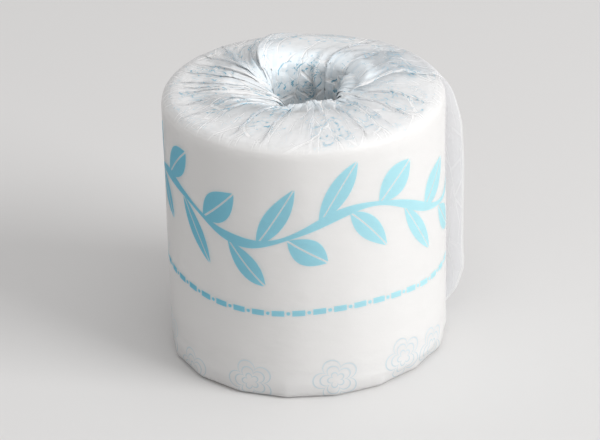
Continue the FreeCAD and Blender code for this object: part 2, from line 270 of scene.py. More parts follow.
def laid_pleats(azimuth, across, rows, strip, beside):
    """The pleats of both ends: their lines wander, and they end at the strip beside the free edge.

    There the film keeps its width on its way in, and lies smooth over the pleats.
    """
    wander = ripples(across, rows.along, 22.0, 3) * 1.6 * rows.inward
    shift = np.zeros((len(azimuth), len(rows.along)))
    fold = np.zeros_like(shift)
    ends = ((rows.upper, UPPER_SEED, UPPER_PLEATS), (~rows.upper, LOWER_SEED, LOWER_PLEATS))
    for side, seed, large in ends:
        around = azimuth + wander[:, side]
        found = pleated(around, rows.inward[side], rows.radius[side], seed, large)
        shift[:, side], fold[:, side] = found
    kept = np.clip(strip, 0, 1) * math.radians(STRIP_ANGLE) * SLEEVE
    start_column = int(np.argmax(strip[:, 0] >= 0))
    smooth_shift = shift[start_column] - np.degrees(kept * (1 / rows.radius - 1 / SLEEVE))
    return shift + (smooth_shift - shift) * beside, fold * (1 - beside)


def wound_film():
    """The sheet as it is laid round the roll, before it settles.

    Gives the places, how firmly each is held, its clearance and the flat sheet's two coordinates.
    """
    rows = profile()
    radius, height, out, up, along, upper, inward = rows
    columns = int(round(SHEET_WIDTH / COLUMN_STEP)) + 1
    turned = np.linspace(0, WHOLE_ANGLE, columns)[:, None]
    azimuth = FREE_EDGE_AT + WHOLE_ANGLE - turned
    across = turned / WHOLE_ANGLE * SHEET_WIDTH
    strip = (turned - (WHOLE_ANGLE - STRIP_ANGLE)) / STRIP_ANGLE
    beside = smooth(strip * 3.5) * upper
    shift, fold = laid_pleats(azimuth, across, rows, strip, beside)
    lean = LEAN * bump(azimuth, LEAN_PLACE) * inward
    lean = np.where(upper, lean, -0.5 * lean)
    lean = lean + EDGE_BOW * bump(azimuth, EDGE_BOW_PLACE) * np.sin(np.pi * inward) * upper

    # The forms of the lid and the mouth.
    on_lid = np.clip(up, 0, 1) * upper
    crumple = 1.0 - 1.5 * np.abs(ripples(across, along, 17.0, 5))
    crumple += 0.6 - 0.9 * np.abs(ripples(across, along, 8.0, 6))
    near_mouth = smooth((radius - MOUTH) / 6) * smooth((MOUTH + 20 - radius) / 10)
    hump = bump(azimuth, HUMP_PLACE)
    dome = DOME_HEIGHT * smooth(inward * 1.4) * on_lid + HUMP_HEIGHT * hump * near_mouth * on_lid
    at_mouth = azimuth + lean
    reach = np.interp(TOP - height, TUFT_DEPTHS, TUFT_REACH) * upper * (radius < MOUTH + 1)
    tuft = reach * bump(at_mouth, TUFT_PLACE) ** 0.8
    tuft = tuft + FLUTE_DEPTH * np.sin(np.radians(azimuth) * FLUTES) * smooth(tuft / 6)
    depth_in = np.clip((TOP - height) / TUCK_DEPTH, 0, 1)
    taut = smooth((MOUTH + 14 - radius) / 14) * upper * (1 - 0.75 * smooth(depth_in * 1.5))
    front_chord = FRONT_CHORD * bump(at_mouth, FRONT_CHORD_PLACE)
    right_chord = RIGHT_CHORD * bump(at_mouth, RIGHT_CHORD_PLACE)
    drawn_in = (front_chord + right_chord) * taut
    inside = np.clip(-out, 0, 1) * upper

    # The height over the roll, first of the lid, then under the roll and in its lower tuck.
    raised = np.where(upper, fold + crumple * smooth(inward * 2.5) + dome, 0)
    raised = raised * (1 - 0.7 * np.clip((tuft + drawn_in) / 4, 0, 1))
    raised = raised * (1 - 0.85 * bump(azimuth, FLAT_PLACE))
    pressed = UNDER_ROOM * (1 - fold / PLEAT_HEIGHT / 1.6) * smooth(inward * 2)
    below = ~upper & (up < -0.2)
    raised = np.where(below, -np.clip(pressed, 0, UNDER_ROOM), raised)
    lined = ~upper & (out < -0.2) & (up >= -0.2)
    raised = np.where(lined, fold * 0.8, raised)

    # The overlap, the strip, the flap and the side's own waves.
    over = smooth((turned - (360.0 - LAP_RAMP)) / LAP_RAMP)
    under = smooth((LAP_ANGLE + LAP_RAMP - turned) / LAP_RAMP)
    flare = np.clip((turned - (WHOLE_ANGLE - FLAP_ANGLE)) / FLAP_ANGLE, 0, 1) ** 1.6
    flap = FLAP_REACH * flare * (np.interp(height, FLAP_HEIGHTS, FLAP_SHARES) * np.clip(out, 0, 1))
    raised = raised + LAP_GAP * (over * np.where(below, 0, 1) - under * np.where(below, 1, 0))
    raised = raised + STRIP_RISE * beside * smooth(inward * 3) * on_lid
    raised = raised + flap
    side = np.clip(out, 0, 1) * (inward == 0)
    raised = raised + side * (0.16 * ripples(across, along * 0.35, 19.0, 8) + 0.12)
    r = radius + out * raised - drawn_in - tuft * np.maximum(inside, 0.3 * on_lid)
    z = height + up * raised

    # The lower edge.
    heel = ~upper & (height < HEEL_TOP)
    flat = (azimuth / FLAT_ANGLE) % 1.0
    heel_part = heel * np.interp(radius, [SLEEVE - 12, HEEL], [0, 1])
    cut = np.interp(height, [0, 1.6, 6, 12], [1, 1, 0.3, 0]) * heel_part
    r = r - FLAT_DEPTH * 4 * flat * (1 - flat) * cut
    spread = np.interp(height, [0, 3, 14, HEEL_TOP], [1, 1, 0.4, 0]) * heel_part
    r = r + (BULGE * bump(azimuth, BULGE_PLACE) - DENT * bump(azimuth, DENT_PLACE)) * spread
    angle = np.radians(azimuth + lean + shift)
    places = np.stack([r * np.cos(angle), r * np.sin(angle), z], axis=-1)

    # How firmly each point is kept near where it was laid.
    hold = np.interp(inward, [0, 0.12, 1], [0.12, 0.03, 0.012])
    hold = np.where(out < -0.5, 0.02, hold)
    hold = np.where(flap > 0.4, 0.03, hold)
    hold = np.where((fold > 2.0) & upper, 0.14, hold)
    hold = np.maximum(hold, 0.22 * np.clip((tuft + drawn_in) / 5, 0, 1))
    hold = np.maximum(hold, 0.24 * bump(azimuth, FIRM_PLACE) * upper)
    hold = np.maximum(hold, 0.25 * beside * smooth(inward * 6))
    hold = np.where(heel & (radius > SLEEVE - 8), 0.3, hold)
    hold = np.maximum(hold, 0.08 * hump * near_mouth * on_lid)
    at_mouth_edge = upper & (radius < MOUTH + 12) & (height > TOP - 8)
    clearance = FILM_GAP + LAP_GAP * over + MOUTH_GAP * at_mouth_edge
    return places, hold, clearance, across, along


def draw_together(one, other, length, stretched, squeezed):
    """Moves two sets of points half way each towards the distance that they have in the flat sheet."""
    gap = other - one
    size = np.sqrt(np.einsum("ijk,ijk->ij", gap, gap)) + 1e-9
    error = (size - length) / size
    share = np.where(error > 0, stretched, squeezed) * 0.5 * error
    gap *= share[..., None]
    one += gap
    other -= gap


def keep_clear(places, clearance):
    """Pushes points out of the tissue roll, to their own clearance, and off the floor."""
    radius = np.hypot(places[..., 0], places[..., 1]) + 1e-9
    across = radius - (BORE_RADIUS + ROLL_RADIUS) / 2
    upward = places[..., 2] - MIDDLE
    outer_corner = np.where(upward > 0, ROLL_CORNER, ROLL_FOOT_CORNER)
    corner = np.where(across > 0, outer_corner, CORE_CORNER)
    past_r = np.abs(across) - ((ROLL_RADIUS - BORE_RADIUS) / 2 - corner)
    past_z = np.abs(upward) - ((TOP - FOOT) / 2 - corner)
    corner_r = np.maximum(past_r, 0)
    corner_z = np.maximum(past_z, 0)
    beyond = np.hypot(corner_r, corner_z)
    away = beyond + np.minimum(np.maximum(past_r, past_z), 0) - corner
    push = np.maximum(clearance - away, 0)
    in_corner = beyond > 1e-6
    sideways = past_r > past_z
    normal_r = np.where(in_corner, corner_r / (beyond + 1e-9), sideways) * np.sign(across)
    normal_z = np.where(in_corner, corner_z / (beyond + 1e-9), ~sideways) * np.sign(upward)
    places[..., 0] += places[..., 0] / radius * normal_r * push
    places[..., 1] += places[..., 1] / radius * normal_r * push
    places[..., 2] += normal_z * push
    np.maximum(places[..., 2], FLOOR_GAP, out=places[..., 2])


def settle(places, hold, clearance, step_u, step_v):
    """Lets the film relax into creases: it may bend, but hardly stretches."""
    laid = places.copy()
    keep = hold[..., None]
    slant = math.hypot(step_u, step_v)
    columns, rows = places.shape[:2]
    for number in range(SETTLE_ROUNDS):
        for start in (0, 1):
            one = places[start:columns - 1:2]
            draw_together(one, places[start + 1:columns:2], step_u, STRETCHED, SQUEEZED)
        for start in (0, 1):
            one = places[:, start:rows - 1:2]
            draw_together(one, places[:, start + 1:rows:2], step_v, STRETCHED, SQUEEZED)
        for start in (0, 1):
            one = places[start:columns - 1:2]
            two = places[start + 1:columns:2]
            draw_together(one[:, :-1], two[:, 1:], slant, SHEARED, SHEARED / 2)
            draw_together(two[:, :-1], one[:, 1:], slant, SHEARED, SHEARED / 2)
        for start in range(4):
            two = places[start + 2::4]
            draw_together(places[start::4][:len(two)], two, 2 * step_u, 0.0, BENDING)
            two = places[:, start + 2::4]
            draw_together(places[:, start::4][:, :two.shape[1]], two, 2 * step_v, 0.0, BENDING)
        places += (laid - places) * keep
        keep_clear(places, clearance)
    return places


def grid_mesh(name, places, across, along):
    """A mesh over a grid of places, with the sheet's flat coordinates from 0 to 1 as its UV map."""
    columns, rows = places.shape[:2]
    mesh = bpy.data.meshes.new(name)
    numbers = np.arange(columns * rows).reshape(columns, rows)
    corners = [numbers[:-1, :-1], numbers[:-1, 1:], numbers[1:, 1:], numbers[1:, :-1]]
    quads = np.stack(corners, axis=-1).reshape(-1, 4)
    mesh.vertices.add(columns * rows)
    mesh.vertices.foreach_set("co", (places.reshape(-1, 3) * MM).astype(np.float32).ravel())
    mesh.loops.add(quads.size)
    mesh.loops.foreach_set("vertex_index", quads.ravel())
    mesh.polygons.add(len(quads))
    mesh.polygons.foreach_set("loop_start", np.arange(len(quads)) * 4)
    mesh.polygons.foreach_set("use_smooth", np.ones(len(quads), dtype=bool))
    mesh.update(calc_edges=True)
    flat = np.stack(np.broadcast_arrays(across / across.max(), along[None, :] / along.max()), axis=-1)
    layer = mesh.uv_layers.new(name="Flat")
    layer.data.foreach_set("uv", flat.reshape(-1, 2)[quads.ravel()].astype(np.float32).ravel())
    mesh.validate()
    piece = bpy.data.objects.new(name, mesh)
    bpy.context.scene.collection.objects.link(piece)
    return piece


# Node helpers: each gives back an output socket.
def set_input(tree, socket, value):
    """Links a socket, or sets a plain value."""
    if isinstance(value, bpy.types.NodeSocket):
        tree.links.new(value, socket)
    elif value is not None:
        socket.default_value = value


def calc(tree, operation, *values):
    """A Math node."""
    node = tree.nodes.new("ShaderNodeMath")
    node.operation = operation
    for socket, value in zip(node.inputs, values):
        set_input(tree, socket, value)
    return node.outputs[0]


def product(tree, first, *others):
    """The values multiplied together."""
    for value in others:
        first = calc(tree, "MULTIPLY", first, value)
    return first


def greatest(tree, first, *others):
    """The greatest of the values."""
    for value in others:
        first = calc(tree, "MAXIMUM", first, value)
    return first


def difference(tree, first, second):
    """The first value less the second."""
    return calc(tree, "SUBTRACT", first, second)


def away_from(tree, value, middle):
    """How far a value is from another one, on either side."""
    return calc(tree, "ABSOLUTE", difference(tree, value, middle))


def distance(tree, x, y):
    """The distance from the origin."""
    return calc(tree, "SQRT", calc(tree, "ADD", product(tree, x, x), product(tree, y, y)))


def swing(tree, value, length):
    """A sine of the value, whose waves have a length."""
    return calc(tree, "SINE", product(tree, value, 2 * math.pi / length))


def blend_of(tree, share, first, second, kind="RGBA"):
    """A Mix node, for colours or, with the kind VALUE, for numbers."""
    node = tree.nodes.new("ShaderNodeMix")
    node.data_type = "FLOAT" if kind == "VALUE" else kind
    set_input(tree, node.inputs[0], share)
    sockets = [s for s in node.inputs if s.type == kind and s != node.inputs[0]]
    set_input(tree, sockets[0], first)
    set_input(tree, sockets[1], second)
    return next(s for s in node.outputs if s.type == kind)


def noise(tree, vector, scale, detail=2.0, roughness=0.5):
    """A Noise texture's value."""
    node = tree.nodes.new("ShaderNodeTexNoise")
    set_input(tree, node.inputs["Vector"], vector)
    node.inputs["Scale"].default_value = scale
    node.inputs["Detail"].default_value = detail
    node.inputs["Roughness"].default_value = roughness
    return node.outputs["Fac"]


def span(tree, value, low, high):
    """0 at the low value, 1 at the high one, and a smooth step between. Low may be above high."""
    node = tree.nodes.new("ShaderNodeMapRange")
    node.interpolation_type = "SMOOTHSTEP"
    set_input(tree, node.inputs["Value"], value)
    node.inputs["From Min"].default_value = low
    node.inputs["From Max"].default_value = high
    return node.outputs[0]


def bumped(tree, height, strength, depth):
    """A Bump node's normal."""
    node = tree.nodes.new("ShaderNodeBump")
    node.inputs["Strength"].default_value = strength
    node.inputs["Distance"].default_value = depth
    set_input(tree, node.inputs["Height"], height)
    return node.outputs[0]


def parts_of(tree, vector):
    """The three parts of a vector."""
    node = tree.nodes.new("ShaderNodeSeparateXYZ")
    tree.links.new(vector, node.inputs[0])
    return node.outputs[0], node.outputs[1], node.outputs[2]


def position(tree):
    """The place of a point in metres."""
    return tree.nodes.new("ShaderNodeNewGeometry").outputs["Position"]


def flat_place(tree, across, up, stretch):
    """The place in the flat sheet as a vector, its height times the stretch."""
    place = tree.nodes.new("ShaderNodeCombineXYZ")
    set_input(tree, place.inputs[0], across)
    set_input(tree, place.inputs[1], product(tree, up, stretch))
    return place.outputs[0]


def cell_pattern(tree, place, size, feature="F1"):
    """The node of a flat pattern of straight-sided cells, each about as wide as the size."""
    cells = tree.nodes.new("ShaderNodeTexVoronoi")
    cells.voronoi_dimensions = "2D"
    cells.feature = feature
    cells.inputs["Scale"].default_value = 1 / size
    tree.links.new(place, cells.inputs["Vector"])
    return cells


def new_material(name):
    """A material with its Principled node, and its tree."""
    material = bpy.data.materials.new(name)
    material.use_nodes = True
    tree = material.node_tree
    return material, tree, tree.nodes["Principled BSDF"]


def dress(piece, material):
    """Gives a piece one material."""
    piece.data.materials.clear()
    piece.data.materials.append(material)


# Colours.
INK = (0.17, 0.57, 0.74, 1)
# The next ink is painted sheen: a paler blue for the right side, where the light falls.
SHEEN_PAINTED_INK = (0.52, 0.84, 0.90, 1)
DEEP_INK = (0.09, 0.40, 0.56, 1)
SLEEVE_WHITE = (0.885, 0.882, 0.878, 1)
LID_WHITE = (0.88, 0.895, 0.915, 1)
# Painted light: the film in the hole and the tuft is painted whiter than the lamps make it.
HOLE_WHITE_PAINTED_LIGHT = (0.90, 0.955, 0.99, 1)
TUFT_WHITE_PAINTED_LIGHT = (0.99, 0.995, 1.0, 1)
FLAP_WHITE = (0.97, 0.975, 0.995, 1)
CREASE_WHITE_AND_HIGHLIGHT = (1.0, 1.0, 1.0, 1)
# Painted shade: blue-grey streaks for the shaded flutes in the hole and the tuft.
STREAK_SHADE_BLUE = (0.60, 0.76, 0.87, 1)
# Painted shadow: a bluish band along the foot of the back fold.
FOLD_SHADOW_BLUE = (0.66, 0.77, 0.84, 1)
TISSUE_SHADED = (0.86, 0.85, 0.835, 1)
TISSUE_WHITE = (0.90, 0.895, 0.885, 1)
BOARD_DARK = (0.30, 0.235, 0.165, 1)
BOARD_PALE = (0.47, 0.38, 0.28, 1)
SEAM_BROWN = (0.16, 0.12, 0.085, 1)
FLOOR_WHITE = (0.70, 0.695, 0.69, 1)
SURROUND_WHITE = (1.0, 0.985, 0.98, 1)

# Places in the flat sheet: how far across it is from the front, and how far up from the floor. A
# pair says where a region or a line begins to show, and where it is whole.
FRONT_AT = 270.0
FRONT_TURN = FREE_EDGE_AT + WHOLE_ANGLE - FRONT_AT
FRONT_ACROSS = FRONT_TURN / WHOLE_ANGLE * SHEET_WIDTH
EDGE_ACROSS = FRONT_ACROSS - SHEET_WIDTH    # where the free edge is
TUFT_ACROSS = math.radians(182.0 - FRONT_AT) * SLEEVE      # the middle of the bunched film
PRINT_LEFT = -94.0      # the bold print lies between these two
PRINT_RIGHT = 78.0
RIM_UP = 104.0          # where the lid begins
LID_UP = (98.0, RIM_UP)
HOLE_UP = (119.0, 128.0)
TUFT_UP = (112.0, 124.0)
TUFT_FADE = (46.0, 28.0)
FLAP_FADE = (26.0, 12.0)
FOOT_UP = (16.0, 6.0)
# Painted highlights: a white line along the free edge and along the back fold's ridge.
FREE_EDGE_HIGHLIGHT = (1.5, 0.9)
RIDGE_FROM = (102.0, 106.0)
RIDGE_TO = (131.0, 126.0)
RIDGE_HIGHLIGHT = (0.75, 0.35)

# The print, with the soft edges of its marks as pairs.
BRANCH_UP = 69.0
WAVE_LENGTH = 88.0
WAVE_HEIGHT = 7.0
SWELL_LENGTH = 36.0     # from one thick part of the stem to the next
SWELL = 0.6
STEM = 1.5              # half of the stem's average thickness
TAPER_LENGTH = 14.0     # how far past the print's ends the stem runs out
TAPER_DEPTH = 2.5
LEAF_STEP = 23.0
LEAVES = (              # shift across, drop from the stem, length, width and angle
    (0.0, -9.0, 24.0, 9.5, 52.0),
    (LEAF_STEP / 2, 9.0, 22.0, 8.5, -48.0),
)
RIB = (0.18, 0.38)      # half of the bare rib's width
INK_EDGE = (-0.1, 0.12)
ROW_UP = 35.5
ROW_WAVE = 0.15         # the row's share of the branch's wave
BOLD_FROM = (24.0, 26.0)
BOLD_TO = (99.0, 97.0)
DASH_STEP = 7.6
DASH_LENGTH = (2.5, 2.25)       # from its middle, like the next two
DASH_HEIGHT = (1.25, 1.05)
DOT_SIZE = (0.85, 0.65)
FLOWER_STEP = 27.0
FLOWERS_BELOW = (23.5, 23.0)    # on the front they keep below this and above the next
FLOWERS_ABOVE = (95.0, 95.5)
FLOWER_RINGS = ((8.6, 4.9), (6.0, 3.2), (3.2, 1.5))     # radius at a petal and between two
FLOWER_LINE = (0.42, 0.16)
PAINTED_SHEEN_TO_RIGHT = (-70.0, 62.0)   # painted sheen: the ink is painted paler from left to right, where the key light falls
PRINT_JOLT = 5.0        # how far the lid's crumpling moves the print

# Kinds of crease, whose lines are painted whiter, partly as stressed film whitens and partly as painted
# highlights: the factor on heights that draws its cells out towards the hole, their size, the line's
# width, the noise that breaks it into streaks and the range that shows, and its strength.
CREASES = (
    (0.3, 6.5, (0.045, 0.012), 0.11, (0.47, 0.56), 0.8),
    (1.0, 4.0, (0.05, 0.015), 0.16, (0.55, 0.62), 0.6),
    (0.42, 15.0, (0.024, 0.01), 0.07, (0.4, 0.46), 1.0),
)

# How much of the film covers what is behind it, and how much light comes through it.
SLEEVE_COVER = 0.74
LID_COVER = 0.48
FLAP_COVER = 0.8
THICK_COVER = 0.95      # where it lies in several layers: in the hole, the tuft and round the foot
MARK_COVER = 0.4        # added by print, creases and the painted highlight lines
SLEEVE_THROUGH = 0.3
LOOSE_THROUGH = 0.5
THICK_THROUGH = 0.12

WINDING = 9000.0        # radians of the tissue's turns in a metre
SEAM_CLIMB = 0.07       # metres that the board's seam rises in a turn

# A place in the flat sheet, and 0 to 1 for each region of the roll.
Sheet = namedtuple("Sheet", "across up plain from_edge on_lid in_hole on_flap in_tuft")


def leaf(tree, x, y, length, width, angle):
    """1 inside a pointed leaf about the origin, with a thin bare rib along it."""
    cosine = math.cos(math.radians(angle))
    sine = math.sin(math.radians(angle))
    along = calc(tree, "ADD", product(tree, x, cosine), product(tree, y, sine))
    aside = difference(tree, product(tree, y, cosine), product(tree, x, sine))
    far = calc(tree, "DIVIDE", along, length / 2)
    edge = product(tree, difference(tree, 1.0, product(tree, far, far)), width / 2)
    wide = calc(tree, "ABSOLUTE", aside)
    body = span(tree, difference(tree, edge, wide), *INK_EDGE)
    return product(tree, body, span(tree, wide, *RIB))


def repeat(tree, value, period, shift):
    """The value's place within its own period, from minus half to plus half of it."""
    moved = calc(tree, "DIVIDE", calc(tree, "ADD", value, shift), period)
    return product(tree, difference(tree, calc(tree, "FRACT", moved), 0.5), period)


def in_front(tree, across, fade):
    """1 on the front of the sleeve, and 0 round the sides and the back."""
    left = span(tree, across, PRINT_LEFT - fade, PRINT_LEFT)
    right = span(tree, across, PRINT_RIGHT + fade, PRINT_RIGHT)
    return product(tree, left, right)


def kept_in_front(tree, mark, across, place):
    """A repeated mark, where the middle of it is on the front, so that it ends with a whole one."""
    return product(tree, mark, in_front(tree, difference(tree, across, place), 0.5))


def leafy_branch(tree, across, up, wave):
    """A waving branch of uneven thickness, with slanting leaves over and under it."""
    level = difference(tree, up, calc(tree, "ADD", wave, BRANCH_UP))
    swell = calc(tree, "MULTIPLY_ADD", swing(tree, across, SWELL_LENGTH), SWELL, STEM)
    past_end = difference(tree, in_front(tree, across, TAPER_LENGTH), 1.0)
    swell = calc(tree, "MULTIPLY_ADD", past_end, TAPER_DEPTH, swell)
    branch = span(tree, difference(tree, swell, calc(tree, "ABSOLUTE", level)), *INK_EDGE)
    for shift, drop, length, width, angle in LEAVES:
        place = repeat(tree, across, LEAF_STEP, shift)
        mark = leaf(tree, place, calc(tree, "ADD", level, drop), length, width, angle)
        branch = greatest(tree, branch, kept_in_front(tree, mark, across, place))
    return branch


def dashes(tree, across, up, wave):
    """A row of dashes with a dot between each two."""
    line = calc(tree, "ADD", product(tree, wave, ROW_WAVE), ROW_UP)
    from_line = away_from(tree, up, line)
    place = repeat(tree, across, DASH_STEP, 0.0)
    length = span(tree, calc(tree, "ABSOLUTE", place), *DASH_LENGTH)
    dash = product(tree, length, span(tree, from_line, *DASH_HEIGHT))
    from_dot = distance(tree, repeat(tree, across, DASH_STEP, DASH_STEP / 2), from_line)
    row = greatest(tree, dash, span(tree, from_dot, *DOT_SIZE))
    return kept_in_front(tree, row, across, place)


def line_flowers(tree, across, up):
    """Flowers drawn in thin lines, scattered over the sheet where the bold print leaves room."""
    cells = cell_pattern(tree, flat_place(tree, across, up, 1.0), FLOWER_STEP)
    cells.inputs["Randomness"].default_value = 0.4
    middle_across, middle_up, _ = parts_of(tree, cells.outputs["Position"])
    x = difference(tree, across, middle_across)
    y = difference(tree, up, middle_up)
    far = distance(tree, x, y)
    petals = calc(tree, "ABSOLUTE", calc(tree, "SINE", product(tree, calc(tree, "ARCTAN2", y, x), 2.5)))
    petals = calc(tree, "POWER", petals, 0.6)
    rings = []
    for size, inner in FLOWER_RINGS:
        outline = calc(tree, "MULTIPLY_ADD", petals, size - inner, inner)
        rings.append(span(tree, away_from(tree, far, outline), *FLOWER_LINE))
    under_row = span(tree, middle_up, *FLOWERS_BELOW)
    near_rim = span(tree, middle_up, *FLOWERS_ABOVE)
    behind = difference(tree, 1.0, in_front(tree, across, 10.0))
    return product(tree, greatest(tree, *rings), greatest(tree, behind, under_row, near_rim))


def print_mask(tree, across, up):
    """The print, as 0 to 1: first the branch and the row of dashes, then the flowers."""
    wave = product(tree, swing(tree, across, WAVE_LENGTH), WAVE_HEIGHT)
    bold = greatest(tree, leafy_branch(tree, across, up, wave), dashes(tree, across, up, wave))
    on_sleeve = product(tree, span(tree, up, *BOLD_FROM), span(tree, up, *BOLD_TO))
    return product(tree, bold, on_sleeve), line_flowers(tree, across, up)


def sheet_places(tree, sleeve_start, length):
    """Where a point is in the flat sheet, and 0 to 1 for the regions of the roll that it is in."""
    flat = tree.nodes.new("ShaderNodeUVMap")
    flat.uv_map = "Flat"
    share_across, share_along, _ = parts_of(tree, flat.outputs[0])
    across = calc(tree, "MULTIPLY_ADD", share_across, -SHEET_WIDTH, FRONT_ACROSS)
    up = calc(tree, "MULTIPLY_ADD", share_along, -length, sleeve_start)
    plain = flat_place(tree, across, up, 1.0)
    from_edge = difference(tree, across, EDGE_ACROSS)
    on_lid = span(tree, up, *LID_UP)
    in_hole = span(tree, up, *HOLE_UP)
    on_flap = product(tree, span(tree, from_edge, *FLAP_FADE), difference(tree, 1.0, on_lid))
    from_tuft = away_from(tree, across, TUFT_ACROSS)
    in_tuft = product(tree, span(tree, up, *TUFT_UP), span(tree, from_tuft, *TUFT_FADE))
    return Sheet(across, up, plain, from_edge, on_lid, in_hole, on_flap, in_tuft)


def ridge_highlight_and_shadow(tree, sheet, pleat):
    """1 along the ridge of a large pleat, which runs slantwise across the sheet, as painted highlight,
    and 1 along its foot, as painted shadow.
    """
    start, width = pleat[:2]
    at_rim = math.radians(start + width - FRONT_AT) * SLEEVE
    slant = math.radians(width) / 2
    line = calc(tree, "MULTIPLY_ADD", difference(tree, sheet.up, RIM_UP), -slant, at_rim)
    on_way = product(tree, span(tree, sheet.up, *RIDGE_FROM), span(tree, sheet.up, *RIDGE_TO))
    beyond = difference(tree, sheet.across, line)
    # Painted highlight along the ridge, and painted shadow in a band beside it.
    ridge = span(tree, calc(tree, "ABSOLUTE", beyond), *RIDGE_HIGHLIGHT)
    foot = product(tree, span(tree, beyond, 0.5, 0.9), span(tree, beyond, 2.2, 1.2))
    return product(tree, ridge, on_way), product(tree, foot, on_way)


def crease_lines(tree, sheet):
    """0 to 1 along the lid's creases, each broken into short streaks, and faintly on the flap: whitened
    lines, partly stressed film and partly painted highlights.
    """
    kinds = []
    for stretch, size, width, scale, shown, strength in CREASES:
        place = flat_place(tree, sheet.across, sheet.up, stretch)
        cells = cell_pattern(tree, place, size, "DISTANCE_TO_EDGE")
        line = span(tree, cells.outputs["Distance"], *width)
        streaks = span(tree, noise(tree, sheet.plain, scale), *shown)
        kinds.append(product(tree, line, streaks, strength))
    where = greatest(tree, sheet.on_lid, product(tree, sheet.on_flap, 0.25))
    return product(tree, greatest(tree, *kinds), where)


def film_print(tree, sheet):
    """The bold and the fine print. The film crumples it on the lid, and its thin lines break up there."""
    jolt = product(tree, difference(tree, noise(tree, sheet.plain, 0.45, 3.0), 0.5), PRINT_JOLT)
    across = calc(tree, "MULTIPLY_ADD", jolt, sheet.on_lid, sheet.across)
    up = calc(tree, "MULTIPLY_ADD", jolt, sheet.on_lid, sheet.up)
    bold, fine = print_mask(tree, across, up)
    broken = product(tree, span(tree, noise(tree, sheet.plain, 0.3, 3.0), 0.42, 0.6), 0.85)
    strength = blend_of(tree, sheet.on_lid, 0.3, broken, "VALUE")
    fine = product(tree, fine, strength, difference(tree, 1.0, sheet.on_flap))
    thread = away_from(tree, noise(tree, sheet.plain, 0.3), 0.5)
    shown = span(tree, noise(tree, sheet.plain, 0.14), 0.5, 0.6)
    thread = product(tree, span(tree, thread, 0.011, 0.004), shown, sheet.on_lid, 0.75)
    return bold, greatest(tree, fine, thread)


def film_white(tree, sheet, fold_foot_shadow, lines):
    """The film's colour: whiter and bluer by region, with painted light in the hole and the tuft, painted
    shade in streaks there and at the back fold's foot, and pale lines along its creases that are partly
    painted highlights.
    """
    white = blend_of(tree, sheet.on_lid, SLEEVE_WHITE, LID_WHITE)
    # Painted light: the hole and then the tuft are painted whiter.
    white = blend_of(tree, sheet.in_hole, white, HOLE_WHITE_PAINTED_LIGHT)
    white = blend_of(tree, sheet.in_tuft, white, TUFT_WHITE_PAINTED_LIGHT)
    # Painted shade: vertical blue-grey streaks in the hole and the tuft, where its folds are shaded.
    drawn_out = flat_place(tree, sheet.across, sheet.up, 0.08)
    streak = span(tree, noise(tree, drawn_out, 0.45), 0.48, 0.64)
    streak = product(tree, streak, greatest(tree, sheet.in_hole, sheet.in_tuft), 0.28)
    white = blend_of(tree, streak, white, STREAK_SHADE_BLUE)
    white = blend_of(tree, sheet.on_flap, white, FLAP_WHITE)
    # Painted shadow: a bluish band along the foot of the back fold.
    white = blend_of(tree, fold_foot_shadow, white, FOLD_SHADOW_BLUE)
    # Partly painted highlight: the creases, the free edge and the back fold's ridge are painted white.
    return blend_of(tree, lines, white, CREASE_WHITE_AND_HIGHLIGHT)


def film_relief(tree, sheet, crease, loose):
    """Soft unevenness on the taut side, and facets where the film is crumpled."""
    soft = noise(tree, flat_place(tree, sheet.across, sheet.up, 2.2), 0.09, 4.0)
    cones = cell_pattern(tree, flat_place(tree, sheet.across, sheet.up, 0.3), 5.0)
    small = cell_pattern(tree, sheet.plain, 3.0)
    small_height = product(tree, small.outputs["Distance"], 0.45)
    crumple = calc(tree, "ADD", cones.outputs["Distance"], small_height)
    crumple = product(tree, calc(tree, "MULTIPLY_ADD", crease, 0.5, crumple), loose)
    relief = calc(tree, "MULTIPLY_ADD", crumple, 0.8, product(tree, soft, 0.5))
    return bumped(tree, relief, 0.6, 0.0011)


